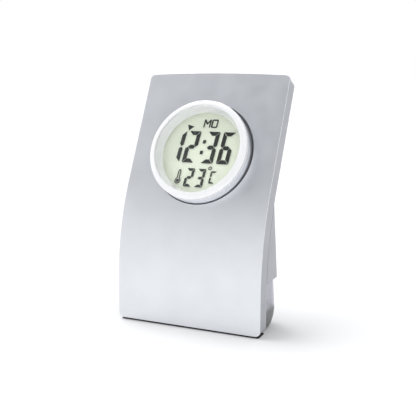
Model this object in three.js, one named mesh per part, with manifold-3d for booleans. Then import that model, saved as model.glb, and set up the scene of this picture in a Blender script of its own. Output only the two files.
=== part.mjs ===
// A free-standing digital desk clock with a thermometer: a curved panel that leans back, a round
// domed display near its top, and a battery wedge behind its foot that props it up.
// Millimetres, +Z up, the panel faces -Y, and the origin is the middle of the clock's footprint.
import * as THREE from "three";
import { mergeVertices } from "three/addons/utils/BufferGeometryUtils.js";
import Module from "manifold-3d";

const wasm = await Module();
wasm.setup();

// ---------------------------------------------------------------- driving dimensions

const gap = 0.3; // clearance between neighbouring pieces

const width = 85;
const panelHeight = 135.3; // lower to upper edge of the front surface, measured upright
const floorClearance = 1; // height of the panel's lower edge above the table
const lean = THREE.MathUtils.degToRad(25.8); // the upper part's angle from upright
const bendStart = 20; // height above the lower edge where the front surface starts to curve back
const bendEnd = 76; // height where it is straight again
const cornerRadius = 3;
const topArch = 1; // how much the middle of the top edge stands above its ends

const fasciaThickness = 1.5;
const bodyThickness = 10.1; // fascia and tray together
const bodyInset = 0.4; // the tray is this much smaller than the fascia all round
const wall = 2;
const trayFront = fasciaThickness + gap;
const trayFloor = trayFront + 1.8;
const coverFront = bodyThickness - 1.8;

const displayHeight = 91.9; // height of the display's centre above the panel's lower edge
const fasciaHole = 29.2;
const trayHole = 27.6;
const bezelRadius = 28.3;
const bezelBore = 26.2;
const bezelBaseTop = 6;
const ringRadius = 28.2;
const ringTop = 9.2;
const ringShoulder = 1.6;
const lensSeat = 7.6;
const lensRadius = 25.2;
const lensTop = 10.6;
const windowRadius = 22.8;
const windowBottom = 2.7;
const glassFlats = 46; // across the flats of the eight-sided display glass
const moduleRadius = 25.1;

const wedgeWidth = 80;
const wedgeBottom = 1.4;
const wedgeDepth = 32.5; // from the panel's foot to the wedge's back at wedgeDepthHeight
const wedgeDepthHeight = 11;
const wedgeSlope = 0.145; // how fast the wedge's back comes forward as it rises
const wedgeTop = 76;
const wedgeHeel = 9; // radius of the heel under the wedge's back
const wedgeCorner = 6; // radius of its upright rear corners
const wedgeSplit = 27; // height where the battery case ends and the rear housing starts

const doorHalfWidth = 30;
const doorBottom = 5.2;
const doorTop = 24.6;

const cellRadius = 5.25;
const cellLength = 43.3;
const cellDepth = 19.4; // how far behind the panel's foot the cells lie
const cellHeights = [9.4, 20.5];

const round = 48; // steps round a full circle
const through = 20; // how far a tool that cuts right through reaches each way
const beyond = 200; // farther than any face of the clock

// ---------------------------------------------------------------- the panel's side profile

const bendRadius = (bendEnd - bendStart) / Math.sin(lean);
const bendLength = bendRadius * lean;
const upperHeight = panelHeight - bendEnd;
const panelLength = bendStart + bendLength + upperHeight / Math.cos(lean);

// The lean of the front surface at a distance along it from its lower edge.
function leanAt(along) {
  return THREE.MathUtils.clamp((along - bendStart) / bendRadius, 0, lean);
}

// A point in the side view: x is the depth and y is the height above the panel's lower edge.
// inward is the distance behind the front surface, square to it.
function sidePoint(along, inward = 0) {
  const angle = leanAt(along);
  const straight = along - bendStart - angle * bendRadius;
  const depth = bendRadius * (1 - Math.cos(angle)) + straight * Math.sin(angle);
  const height = bendStart + bendRadius * Math.sin(angle) + straight * Math.cos(angle);
  return new THREE.Vector2(
    depth + inward * Math.cos(angle),
    height - inward * Math.sin(angle),
  );
}

// The distance along the surface of a height on its upper straight part.
function alongAtHeight(height) {
  return bendStart + bendLength + (height - bendEnd) / Math.cos(lean);
}

const overallDepth = sidePoint(panelLength - bodyInset, bodyThickness).x;
const displayAlong = alongAtHeight(displayHeight);

// ---------------------------------------------------------------- shaping helpers

function solid(geometry) {
  const bare = geometry.clone();
  bare.deleteAttribute("normal");
  bare.deleteAttribute("uv");
  const merged = mergeVertices(bare, 1e-4);
  return new wasm.Manifold(
    new wasm.Mesh({
      numProp: 3,
      vertProperties: merged.attributes.position.array,
      triVerts: new Uint32Array(merged.index.array),
    }),
  );
}

function geometryOf(manifold) {
  const mesh = manifold.getMesh();
  const geometry = new THREE.BufferGeometry();
  geometry.setAttribute("position", new THREE.BufferAttribute(mesh.vertProperties, 3));
  geometry.setIndex(new THREE.BufferAttribute(mesh.triVerts, 1));
  geometry.computeVertexNormals();
  return geometry;
}

function cutAll(body, tools) {
  return tools.reduce((rest, tool) => rest.subtract(tool), body);
}

function joinAll(bodies) {
  return bodies.reduce((whole, body) => whole.add(body));
}

function box(x, y, z, centre) {
  return solid(new THREE.BoxGeometry(x, y, z).translate(...centre));
}

// A box between two corners.
function boxBetween(low, high) {
  const size = high.map((value, axis) => value - low[axis]);
  const centre = high.map((value, axis) => (value + low[axis]) / 2);
  return box(...size, centre);
}

// A cylinder along Z between two heights.
function rod(radius, bottom, top, x = 0, y = 0, steps = 24) {
  const geometry = new THREE.CylinderGeometry(radius, radius, top - bottom, steps);
  geometry.rotateX(Math.PI / 2);
  return solid(geometry.translate(x, y, (top + bottom) / 2));
}

// A cylinder along X between two places.
function crossRod(radius, left, right, y, z, steps = 24) {
  const geometry = new THREE.CylinderGeometry(radius, radius, right - left, steps);
  geometry.rotateZ(Math.PI / 2);
  return solid(geometry.translate((left + right) / 2, y, z));
}

// A body of revolution about Z. The outline is a list of [radius, height].
function revolve(outline, steps = round) {
  const ends = [outline.at(-1), outline[0]];
  const closed = ends.every(([radius]) => radius === 0) ? outline : [...outline, outline[0]];
  const turn = closed.reduce((sum, [r, z], i) => {
    const [nextR, nextZ] = closed[(i + 1) % closed.length];
    return sum + r * nextZ - nextR * z;
  }, 0);
  const ordered = turn > 0 ? closed : [...closed].reverse();
  const points = ordered.map(([r, z]) => new THREE.Vector2(r, z));
  return solid(new THREE.LatheGeometry(points, steps).rotateX(Math.PI / 2));
}

// Points on an arc, as [x, y] pairs, from one angle to another in degrees.
function arc(centreX, centreY, radius, from, to, steps) {
  return Array.from({ length: steps + 1 }, (_, i) => {
    const angle = THREE.MathUtils.degToRad(from + ((to - from) * i) / steps);
    return [centreX + radius * Math.cos(angle), centreY + radius * Math.sin(angle)];
  });
}

function shapeOf(points) {
  return new THREE.Shape(points.map(([x, y]) => new THREE.Vector2(x, y)));
}

// A side outline of [depth, height] pairs, widened along X about the middle.
function widen(points, fullWidth) {
  const geometry = new THREE.ExtrudeGeometry(shapeOf(points), {
    depth: fullWidth,
    bevelEnabled: false,
  });
  geometry.translate(0, 0, -fullWidth / 2);
  const axes = new THREE.Matrix4().makeBasis(
    new THREE.Vector3(0, 1, 0),
    new THREE.Vector3(0, 0, 1),
    new THREE.Vector3(1, 0, 0),
  );
  return solid(geometry.applyMatrix4(axes));
}

// A flat outline of [x, y] pairs, raised along Z between two heights.
function raise(points, bottom, top) {
  const geometry = new THREE.ExtrudeGeometry(shapeOf(points), {
    depth: top - bottom,
    bevelEnabled: false,
  });
  return solid(geometry.translate(0, 0, bottom));
}

// The frame at a distance along the front surface: local X is across, local Y runs up the
// surface and local Z points out of it. Depth and height count from the panel's lower edge.
function surfaceFrame(along) {
  const point = sidePoint(along);
  const matrix = new THREE.Matrix4().makeRotationX(Math.PI / 2 - leanAt(along));
  return matrix.setPosition(0, point.x, point.y);
}

function moved(manifold, matrix) {
  return manifold.transform(matrix.toArray());
}

// A solid in the frame at one place on the surface, moved to the panel's own frame.
function onSurface(manifold, along) {
  return moved(manifold, surfaceFrame(along));
}

// A solid of the panel's frame, seen from the display's frame.
function inDisplayFrame(manifold) {
  return moved(manifold, surfaceFrame(displayAlong).invert());
}

// ---------------------------------------------------------------- the curved layers

// A layer of the curved panel between two depths behind its front surface. inset makes its
// outline that much smaller all round.
function curvedLayer(front, back, inset) {
  const first = inset;
  const last = panelLength - inset;
  const bendSteps = 12;
  const stations = [first];
  for (let i = 0; i <= bendSteps; i++) stations.push(bendStart + (bendLength * i) / bendSteps);
  stations.push(last);
  const outline = [
    ...stations.map((along) => sidePoint(along, front)),
    ...stations.reverse().map((along) => sidePoint(along, back)),
  ].map((point) => [point.x, point.y]);
  const slab = widen(outline, width - 2 * inset);
  return slab.intersect(upperOutline(inset)).intersect(lowerOutline(inset));
}

// The arched top edge and its two round corners, as a prism square to the upper part.
function upperOutline(inset) {
  const half = width / 2 - inset;
  const radius = cornerRadius - inset / 2;
  const archRadius = (half * half) / (2 * topArch);
  const archAngle = THREE.MathUtils.radToDeg(Math.asin((half - radius) / archRadius));
  const top = panelLength - inset;
  const outline = [
    [-half, -beyond],
    [half, -beyond],
    ...arc(half - radius, top - topArch - radius, radius, 0, 90, 6),
    ...arc(0, top - archRadius, archRadius, 90 - archAngle, 90 + archAngle, 8),
    ...arc(radius - half, top - topArch - radius, radius, 90, 180, 6),
  ];
  const prism = raise(outline, -beyond, beyond);
  const matrix = surfaceFrame(panelLength);
  return moved(prism.translate([0, -panelLength, 0]), matrix);
}

// The lower edge and its two round corners, as a prism along Y.
function lowerOutline(inset) {
  const half = width / 2 - inset;
  const radius = cornerRadius - inset / 2;
  const outline = [
    [half, beyond],
    [-half, beyond],
    ...arc(radius - half, inset + radius, radius, 180, 270, 6),
    ...arc(half - radius, inset + radius, radius, 270, 360, 6),
  ];
  return onSurface(raise(outline, -beyond, beyond), 0);
}

// ---------------------------------------------------------------- fasteners

const screwHead = 2.3;
const screwHeadDepth = 1;
const screwShank = 1.1;
const pilotRadius = screwShank + gap;
const bossRadius = 3;

// A pan-head screw whose head's top is at the given height, driven along +Z (head down at -Z).
function screw(headBack, tip, x, y) {
  const head = rod(screwHead, headBack, headBack + screwHeadDepth, x, y, 20);
  const shank = rod(screwShank, headBack + screwHeadDepth / 2, tip, x, y, 12);
  const slotDepth = 0.5;
  const slots = [
    box(2.6, 0.6, 2 * slotDepth, [x, y, headBack]),
    box(0.6, 2.6, 2 * slotDepth, [x, y, headBack]),
  ];
  return cutAll(head.add(shank), slots);
}

// Where the back cover is screwed to the tray: across, and along the surface.
const coverScrewPlaces = [
  [-36, panelLength - 9],
  [36, panelLength - 9],
  [-36, displayAlong - 9],
  [36, displayAlong - 9],
];
// Where the rear housing and the battery case are screwed on from inside the tray.
const housingScrewPlaces = [
  [-35.4, 50],
  [35.4, 50],
];
const caseScrewPlaces = [
  [-35.4, 15],
  [35.4, 15],
];

// ---------------------------------------------------------------- fascia, tray and cover

function frontPanel() {
  const hole = onSurface(rod(fasciaHole, -through, through, 0, 0, round), displayAlong);
  return curvedLayer(0, fasciaThickness, 0).subtract(hole);
}

const coverTongues = [-20, 20];

function bodyShell() {
  const outside = curvedLayer(trayFront, bodyThickness, bodyInset);
  const inside = curvedLayer(trayFloor, bodyThickness + 5, bodyInset + wall);
  const hole = onSurface(rod(trayHole, -through, through, 0, 0, round), displayAlong);
  const bosses = coverScrewPlaces.map(([x, along]) =>
    onSurface(rod(bossRadius, -coverFront + gap, -trayFloor + 0.5, x, 0), along),
  );
  const pilots = coverScrewPlaces.map(([x, along]) =>
    onSurface(rod(pilotRadius, -coverFront - 1, -trayFloor + 0.2, x, 0, 12), along),
  );
  const slots = coverTongues.map((x) =>
    boxBetween([x - 4.4, coverFront - 0.5, 0.9], [x + 4.4, coverFront + 1.5, 4]),
  );
  return cutAll(joinAll([outside.subtract(inside), ...bosses]), [hole, ...pilots, ...slots]);
}

const buttonPlaces = [-13, 0, 13];
const buttonRise = 8; // how far above the display's centre the buttons sit
const buttonRadius = 3;
const leadHole = { x: 29.4, along: 37, radius: 2.2 };

function backCover() {
  const plate = curvedLayer(coverFront, bodyThickness, bodyInset + wall + gap);
  const screwHoles = [...coverScrewPlaces, ...housingScrewPlaces, ...caseScrewPlaces].map(
    ([x, along]) => onSurface(rod(pilotRadius, -through, 0, x, 0, 12), along),
  );
  const pocketFloor = -bodyThickness + screwHeadDepth + 0.1;
  const headPockets = coverScrewPlaces.map(([x, along]) =>
    onSurface(rod(screwHead + gap, -through, pocketFloor, x, 0, 20), along),
  );
  const buttonHoles = buttonPlaces.map((x) =>
    onSurface(rod(buttonRadius + gap, -through, 0, x, buttonRise), displayAlong),
  );
  const leads = onSurface(rod(leadHole.radius, -through, 0, leadHole.x, 0), leadHole.along);
  const airSlots = [-1, 0, 1].map((i) =>
    onSurface(box(9, 1.2, 20, [24, 20 + 3 * i, -bodyThickness]), displayAlong),
  );
  const tongues = coverTongues.map((x) =>
    boxBetween([x - 4, coverFront, 1.3], [x + 4, coverFront + 1.2, 4]),
  );
  return cutAll(joinAll([plate, ...tongues]), [
    ...screwHoles,
    ...headPockets,
    ...buttonHoles,
    ...airSlots,
    leads,
  ]);
}

// ---------------------------------------------------------------- the display, in its own frame

function bezelBase() {
  const spigotRadius = trayHole - gap;
  const spigotBack = -trayFloor - 0.4;
  const edge = 0.4;
  const ring = revolve([
    [bezelBore, spigotBack],
    [spigotRadius, spigotBack],
    [spigotRadius, -fasciaThickness],
    [bezelRadius, -fasciaThickness],
    [bezelRadius, bezelBaseTop - edge],
    [bezelRadius - edge, bezelBaseTop],
    [bezelBore, bezelBaseTop],
  ]);
  const hookHalf = 2.5;
  const hookBack = spigotBack - 0.9;
  const hooks = [90, 210, 330].map((angle) =>
    boxBetween(
      [bezelBore + 0.1, -hookHalf, hookBack],
      [spigotRadius + 0.8, hookHalf, -trayFloor - gap],
    ).rotate([0, 0, angle]),
  );
  return joinAll([ring, ...hooks]);
}

function bezelRing() {
  const shoulderBottom = ringTop - ringShoulder;
  const skirtRadius = bezelBore - gap;
  return revolve([
    [ringRadius, bezelBaseTop + gap],
    ...arc(ringRadius - ringShoulder, shoulderBottom, ringShoulder, 0, 90, 6),
    [lensRadius + gap, lensSeat],
    [lensRadius - 0.6, lensSeat],
    [windowRadius, windowBottom],
    [skirtRadius, windowBottom],
    [skirtRadius, bezelBaseTop + gap],
  ]);
}

function domeLens() {
  const edgeBottom = lensSeat + gap;
  const edgeTop = ringTop - 0.2;
  const crown = lensTop - edgeTop;
  const topRadius = (lensRadius ** 2 + crown ** 2) / (2 * crown);
  const thickness = 1.5;
  const innerEdge = lensRadius - 2.2;
  const domeHeight = (radius) => Math.sqrt(topRadius ** 2 - radius ** 2) - topRadius + lensTop;
  const outer = [0, 0.35, 0.65, 0.85, 1].map((part) => {
    const radius = part * lensRadius;
    return [radius, domeHeight(radius)];
  });
  const inner = [1, 0.6, 0].map((part) => {
    const radius = part * innerEdge;
    return [radius, Math.max(domeHeight(radius) - thickness, edgeBottom)];
  });
  return revolve([...outer, [lensRadius, edgeBottom], ...inner]);
}

function octagon(flats) {
  return arc(0, 0, flats / 2 / Math.cos(Math.PI / 8), 22.5, 337.5, 7);
}

function lcdGlass() {
  return raise(octagon(glassFlats), gap, windowBottom - gap);
}

const reflectorHeight = 38;

function lcdReflector() {
  const sheet = raise(octagon(glassFlats - 1), -0.3, 0);
  return sheet.intersect(box(60, reflectorHeight, 4, [0, 0, 0]));
}

const zebra = { length: 22, thickness: 1.8, rise: 20.6 };
const boardFront = -4.4;
const boardBack = boardFront - 1;
const boardScrewPlaces = [
  [-17, -14.5],
  [17, -14.5],
  [-17, 14.5],
  [17, 14.5],
];

function lcdHolder() {
  const disc = rod(moduleRadius, -2, -0.6, 0, 0, round);
  const bosses = boardScrewPlaces.map(([x, y]) => rod(2.2, boardFront + gap, -1.5, x, y, 16));
  const holes = boardScrewPlaces.map(([x, y]) => rod(1.1, -6, 1, x, y, 12));
  const slots = [-1, 1].map((side) =>
    box(zebra.length + 2 * gap, zebra.thickness + 2 * gap, 10, [0, side * zebra.rise, 0]),
  );
  return cutAll(joinAll([disc, ...bosses]), [...holes, ...slots]);
}

function zebraStrip(side) {
  return boxBetween(
    [-zebra.length / 2, side * zebra.rise - zebra.thickness / 2, boardFront + gap],
    [zebra.length / 2, side * zebra.rise + zebra.thickness / 2, 0],
  );
}

function mainBoard() {
  const corner = 2;
  const halfX = 20.4;
  const halfY = 22;
  const outline = [
    ...arc(halfX - corner, halfY - corner, corner, 0, 90, 3),
    ...arc(corner - halfX, halfY - corner, corner, 90, 180, 3),
    ...arc(corner - halfX, corner - halfY, corner, 180, 270, 3),
    ...arc(halfX - corner, corner - halfY, corner, 270, 360, 3),
  ];
  const holes = boardScrewPlaces.map(([x, y]) => rod(1.1, -8, 0, x, y, 12));
  return cutAll(raise(outline, boardBack, boardFront), holes);
}

function boardScrew([x, y]) {
  const head = rod(1.9, boardBack - gap - 1, boardBack - gap, x, y, 16);
  const shank = rod(0.8, boardBack - gap - 0.5, -2.2, x, y, 10);
  return head.add(shank);
}

function clockChip() {
  const top = boardBack - gap;
  return revolve([
    [0, top],
    [5, top],
    [4.4, top - 0.7],
    [2.8, top - 1.2],
    [0, top - 1.4],
  ], 24).translate([0, -7, 0]);
}

function watchCrystal() {
  return crossRod(1, -14, -8, -9, boardBack - gap - 1, 12);
}

function chipCapacitor(x) {
  const top = boardBack - gap;
  return boxBetween([x - 1, -13, top - 0.9], [x + 1, -11.8, top]);
}

function temperatureSensor() {
  const bead = new THREE.SphereGeometry(1.3, 16, 10);
  return solid(bead.scale(1, 1.2, 0.9).translate(15, 20, boardBack - gap - 1.3));
}

function button(x) {
  const capBack = -bodyThickness - 0.8;
  const flangeFront = -coverFront + gap + 0.7;
  const cap = revolve([
    [0, capBack],
    [buttonRadius - 0.5, capBack],
    [buttonRadius, capBack + 0.5],
    [buttonRadius, -coverFront + gap + 0.2],
    [buttonRadius + 1, -coverFront + gap],
    [buttonRadius + 1, flangeFront],
    [0, flangeFront],
  ], 24);
  return cap.translate([x, buttonRise, 0]);
}

function buttonDome(x) {
  const back = -coverFront + 2 * gap + 0.7;
  const front = boardBack - gap;
  return revolve([
    [0, back],
    [1.4, back],
    [2.6, front - 0.3],
    [2.6, front],
    [0, front],
  ], 20).translate([x, buttonRise, 0]);
}

// ---------------------------------------------------------------- the wedge behind the foot

// The side outline of the wedge, made smaller by an inset.
function wedgeOutline(inset) {
  const backAt = (height) =>
    wedgeDepth - inset - wedgeSlope * (height - wedgeDepthHeight);
  const bottom = wedgeBottom - floorClearance + inset;
  const heel = wedgeHeel - inset;
  const heelHeight = bottom + heel;
  return [
    [0, bottom],
    ...arc(backAt(heelHeight) - heel, heelHeight, heel, 270, 360, 8),
    [backAt(wedgeTop), wedgeTop],
    [0, wedgeTop],
  ];
}

// The plan of the wedge: two round rear corners, as a prism along Z.
function wedgePlan(inset) {
  const half = wedgeWidth / 2 - inset;
  const corner = wedgeCorner - inset;
  const back = wedgeDepth - inset;
  const outline = [
    [-half, -10],
    [half, -10],
    ...arc(half - corner, back - corner, corner, 0, 90, 6),
    ...arc(corner - half, back - corner, corner, 90, 180, 6),
  ];
  return raise(outline, -10, 100);
}

// The wedge's outer form, made smaller by an inset, behind the back cover.
function wedgeForm(inset) {
  const behind = curvedLayer(-30, bodyThickness + gap + (inset > 0 ? -1 : 0), -10);
  const leaned = new THREE.Matrix4().makeShear(0, 0, 0, 0, 0, -wedgeSlope);
  leaned.setPosition(0, wedgeSlope * wedgeDepthHeight, 0);
  return widen(wedgeOutline(inset), wedgeWidth)
    .intersect(moved(wedgePlan(inset), leaned))
    .subtract(behind);
}

const screwTip = -17;

// A screw boss along the frame's Z, behind the back cover, with its pilot hole.
function wedgeBoss([x, along]) {
  return onSurface(rod(bossRadius, screwTip - 3, -bodyThickness - gap, x, 0), along);
}

function wedgePilot([x, along]) {
  return onSurface(rod(pilotRadius, screwTip - 1, -bodyThickness + 1, x, 0, 12), along);
}

function rearHousing() {
  const split = wedgeSplit - floorClearance + gap;
  const above = boxBetween([-60, -10, split], [60, 60, 120]);
  const outside = wedgeForm(0);
  const shell = outside.subtract(wedgeForm(wall));
  const bosses = housingScrewPlaces.map((place) => wedgeBoss(place).intersect(outside));
  return cutAll(joinAll([shell, ...bosses]), housingScrewPlaces.map(wedgePilot)).intersect(above);
}

// The middle of the heel's arc, in the side view.
const heelCentre = (() => {
  const height = wedgeBottom - floorClearance + wedgeHeel;
  return { depth: wedgeDepth - wedgeSlope * (height - wedgeDepthHeight) - wedgeHeel, height };
})();

// The hinge line of the battery door, in the middle of the case's wall. angle is how far it
// lies round the heel, below the level of the heel's centre.
const doorHinge = (() => {
  const height = doorBottom - floorClearance;
  const middle = wedgeHeel - wall / 2;
  const angle = Math.asin((heelCentre.height - height) / middle);
  return { depth: heelCentre.depth + middle * Math.cos(angle), height, angle };
})();

// The part of the case's wall that the door takes, grown by a clearance.
function doorRegion(clearance) {
  const half = doorHalfWidth + clearance;
  const top = doorTop - floorClearance + clearance;
  return boxBetween([-half, doorHinge.depth - 3.2, doorHinge.height - clearance], [half, 50, top]);
}

function wedgeWall() {
  return wedgeForm(0).subtract(wedgeForm(wall));
}

const rearFootSize = { x: 14, y: 6, height: 2.2 };
const rearFootPlaces = [-26, 26];
const rearFootDepth = 22.5;

function rearFootBox(x, clearance) {
  const halfX = rearFootSize.x / 2 + clearance;
  const halfY = rearFootSize.y / 2 + clearance;
  return boxBetween(
    [x - halfX, rearFootDepth - halfY, -floorClearance],
    [x + halfX, rearFootDepth + halfY, rearFootSize.height - floorClearance + clearance],
  );
}

function batteryCase() {
  const split = wedgeSplit - floorClearance;
  const below = boxBetween([-60, -10, -10], [60, 60, split]);
  const outside = wedgeForm(0);
  const bosses = caseScrewPlaces.map((place) => wedgeBoss(place).intersect(outside));
  const reliefHalf = doorHalfWidth + gap;
  const hingeRelief = crossRod(
    wall / 2 + gap + 0.2,
    -reliefHalf,
    reliefHalf,
    doorHinge.depth,
    doorHinge.height,
  );
  const pads = rearFootPlaces.map((x) => rearFootBox(x, 1.2).intersect(outside));
  return cutAll(joinAll([wedgeWall(), ...bosses, ...pads]), [
    doorRegion(gap),
    hingeRelief,
    ...caseScrewPlaces.map(wedgePilot),
    ...rearFootPlaces.map((x) => rearFootBox(x, gap)),
  ]).intersect(below);
}

const doorTongues = [-18, 18];

function batteryDoor() {
  const panel = wedgeWall().intersect(doorRegion(0));
  const knuckle = crossRod(wall / 2, -doorHalfWidth, doorHalfWidth, doorHinge.depth,
    doorHinge.height, 16);
  const innerWall = wedgeHeel - wall;
  const tongues = doorTongues.map((x) =>
    joinAll([
      boxBetween([x - 3, innerWall - 2, 0.3], [x + 3, innerWall + 0.8, 1.5]),
      boxBetween([x - 3, innerWall - 2, -2.4], [x + 3, innerWall - 0.8, 1.5]),
    ])
      .rotate([-THREE.MathUtils.radToDeg(doorHinge.angle), 0, 0])
      .translate([0, heelCentre.depth, heelCentre.height]),
  );
  const gripTop = doorTop - floorClearance - 2.5;
  const grip = [0, 1, 2].map((i) => {
    const height = gripTop - 1.8 * i;
    const depth = wedgeDepth - wedgeSlope * (height - wedgeDepthHeight);
    return crossRod(0.5, -7, 7, depth, height, 8);
  });
  return cutAll(joinAll([panel, knuckle, ...tongues]), grip);
}

// ---------------------------------------------------------------- cells and contacts

const trayHalf = 27;
const trayBack = 13;

function batteryTray() {
  const front = bodyThickness + 2 * gap + 0.4;
  const bottom = 3.2;
  const top = 24.4;
  const plate = boxBetween([-trayHalf, front, bottom], [trayHalf, trayBack, top]);
  const ends = [-1, 1].map((side) =>
    boxBetween(
      [side * trayHalf - 0.8, front, bottom],
      [side * trayHalf + 0.8, cellDepth + 4, top],
    ),
  );
  return joinAll([plate, ...ends]);
}

// A AAA cell along X. end is +1 when its positive button points to +X.
function cell(height, end) {
  const half = cellLength / 2;
  const nub = 1.9;
  const can = revolve([
    [0, -half],
    [cellRadius - 0.5, -half],
    [cellRadius, -half + 0.5],
    [cellRadius, half - 0.5],
    [cellRadius - 0.5, half],
    [nub, half],
    [nub, half + 0.9],
    [0, half + 0.9],
  ], 32);
  const turned = can.rotate([0, end * 90, 0]);
  return turned.translate([0, cellDepth, height - floorClearance]);
}

const contactInner = trayHalf - 0.8 - gap;
const plateThickness = 0.4;

function contactPlate(side, low, high) {
  const x = side * (contactInner - plateThickness / 2);
  return box(plateThickness, 8, high - low, [x, cellDepth - 1, (low + high) / 2]);
}

// A conical spring along X that presses on a cell's flat end.
function contactSpring(height, side) {
  const turns = 3;
  const steps = 30;
  const wire = 0.35;
  const start = cellLength / 2 + gap + wire;
  const end = contactInner - plateThickness - gap - wire;
  const points = Array.from({ length: steps + 1 }, (_, i) => {
    const part = i / steps;
    const angle = 2 * Math.PI * turns * part;
    const radius = 1.9 + 1.6 * part;
    return new THREE.Vector3(
      side * (start + (end - start) * part),
      cellDepth + radius * Math.cos(angle),
      height - floorClearance + radius * Math.sin(angle),
    );
  });
  return tube(points, wire, steps * 2, 6);
}

// A round wire along a smooth curve through the points.
function tube(points, radius, steps, sides) {
  const section = new THREE.Shape(
    arc(0, 0, radius, 0, 360 - 360 / sides, sides - 1).map(([x, y]) => new THREE.Vector2(x, y)),
  );
  return solid(
    new THREE.ExtrudeGeometry(section, {
      steps,
      bevelEnabled: false,
      extrudePath: new THREE.CatmullRomCurve3(points),
    }),
  );
}

// A lead from a contact, through the cover's hole, up the hollow tray to the board's lower edge.
function batteryLead(side, contactHeight) {
  const x = leadHole.x + side * 0.9;
  const inside = 6.1;
  const hole = sidePoint(leadHole.along, bodyThickness + 2);
  const last = displayAlong - 24;
  const climb = [0.25, 0.5, 0.75, 1].map((part) => {
    const point = sidePoint(leadHole.along + 8 + part * (last - leadHole.along - 8), inside);
    return new THREE.Vector3(x - (x - 17 - side * 1.5) * part, point.x, point.y);
  });
  const route = [
    new THREE.Vector3(x, 16.2, contactHeight - floorClearance),
    new THREE.Vector3(x, 16.2, 24.9),
    new THREE.Vector3(x, hole.x + 1.5, hole.y - 1.2),
    ...[bodyThickness + 0.5, coverFront - 0.6].map((inward) => {
      const point = sidePoint(leadHole.along, inward);
      return new THREE.Vector3(x, point.x, point.y);
    }),
    ...climb,
  ];
  return tube(route, 0.5, 40, 8);
}

// ---------------------------------------------------------------- feet

function frontFootStrip() {
  const half = width / 2 - 1.2;
  return boxBetween([-half, 0.9, -floorClearance], [half, bodyThickness - 0.9, -gap]);
}

// ---------------------------------------------------------------- materials

function material(color, roughness, metalness = 0, extra = {}) {
  return new THREE.MeshStandardMaterial({ color, roughness, metalness, ...extra });
}

const looks = {
  silver: () => material(0xc9ccd3, 0.42, 0.7),
  greyPlastic: () => material(0xb9bcc6, 0.5),
  ringSilver: () => material(0xc3c5cb, 0.25, 0.8),
  gloss: () => material(0xf3f4f6, 0.12),
  clear: () => material(0xffffff, 0.04, 0, { transparent: true, opacity: 0.25 }),
  lcd: () => material(0xc9d2ba, 0.3),
  smoke: () => material(0x5c5b68, 0.08, 0, { transparent: true, opacity: 0.8 }),
  board: () => material(0x2f6b3c, 0.5),
  black: () => material(0x17181a, 0.6),
  rubber: () => material(0x141415, 0.85),
  steel: () => material(0xb8bbc0, 0.3, 1),
  cellJacket: () => material(0x3a6f8f, 0.35),
  redWire: () => material(0xa82a24, 0.55),
  tan: () => material(0xb59a6a, 0.6),
};

// ---------------------------------------------------------------- assembly

const clock = new THREE.Group();
clock.name = "desk_clock";
clock.position.set(0, -overallDepth / 2, floorClearance);

const display = new THREE.Group();
display.name = "display";
const displayCentre = sidePoint(displayAlong);
display.position.set(0, displayCentre.x, displayCentre.y);
display.rotation.x = Math.PI / 2 - lean;
clock.add(display);

function add(parent, name, manifold, look) {
  const mesh = new THREE.Mesh(geometryOf(manifold), looks[look]());
  mesh.name = name;
  parent.add(mesh);
}

add(clock, "front_panel", frontPanel(), "silver");
add(clock, "body_shell", bodyShell(), "greyPlastic");
add(clock, "back_cover", backCover(), "greyPlastic");

add(display, "bezel_base", bezelBase(), "ringSilver");
add(display, "bezel_ring", bezelRing(), "gloss");
add(display, "dome_lens", domeLens(), "clear");
add(display, "lcd_glass", lcdGlass(), "lcd");
add(display, "lcd_reflector", lcdReflector(), "steel");
add(display, "lcd_holder", lcdHolder(), "black");
add(display, "zebra_strip_lower", zebraStrip(-1), "rubber");
add(display, "zebra_strip_upper", zebraStrip(1), "rubber");
add(display, "main_board", mainBoard(), "board");
add(display, "clock_chip", clockChip(), "black");
add(display, "watch_crystal", watchCrystal(), "steel");
add(display, "chip_capacitor_1", chipCapacitor(8), "tan");
add(display, "chip_capacitor_2", chipCapacitor(12), "tan");
add(display, "temperature_sensor", temperatureSensor(), "black");
boardScrewPlaces.forEach((place, i) => {
  add(display, `board_screw_${i + 1}`, boardScrew(place), "steel");
});

["mode", "set", "units"].forEach((label, i) => {
  add(display, `${label}_button`, button(buttonPlaces[i]), "greyPlastic");
  add(display, `${label}_button_dome`, buttonDome(buttonPlaces[i]), "rubber");
});

coverScrewPlaces.forEach(([x, along], i) => {
  const piece = screw(-bodyThickness - 0.2, -trayFloor - gap - 0.6, x, 0);
  add(clock, `cover_screw_${i + 1}`, onSurface(piece, along), "steel");
});

add(clock, "rear_housing", rearHousing(), "greyPlastic");
add(clock, "battery_case", batteryCase(), "smoke");
add(clock, "battery_door", batteryDoor(), "smoke");

[...housingScrewPlaces, ...caseScrewPlaces].forEach(([x, along], i) => {
  const headFront = -coverFront + gap + screwHeadDepth;
  const piece = screw(-headFront, -screwTip, x, 0).mirror([0, 0, 1]);
  const name = i < 2 ? `housing_screw_${i + 1}` : `case_screw_${i - 1}`;
  add(clock, name, onSurface(piece, along), "steel");
});

add(clock, "battery_tray", batteryTray(), "black");
add(clock, "battery_lower", cell(cellHeights[0], 1), "cellJacket");
add(clock, "battery_upper", cell(cellHeights[1], -1), "cellJacket");
add(clock, "bridge_contact", contactPlate(-1, 4, 23.6), "steel");
add(clock, "positive_contact", contactPlate(1, 4, 13), "steel");
add(clock, "negative_contact", contactPlate(1, 14.6, 23.6), "steel");
add(clock, "lower_contact_spring", contactSpring(cellHeights[0], -1), "steel");
add(clock, "upper_contact_spring", contactSpring(cellHeights[1], 1), "steel");
add(clock, "positive_lead", batteryLead(1, 9), "redWire");
add(clock, "negative_lead", batteryLead(-1, 20), "black");

add(clock, "front_foot_strip", frontFootStrip(), "rubber");
rearFootPlaces.forEach((x, i) => {
  add(clock, `rear_foot_${i + 1}`, rearFootBox(x, 0), "rubber");
});

export default clock;
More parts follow.
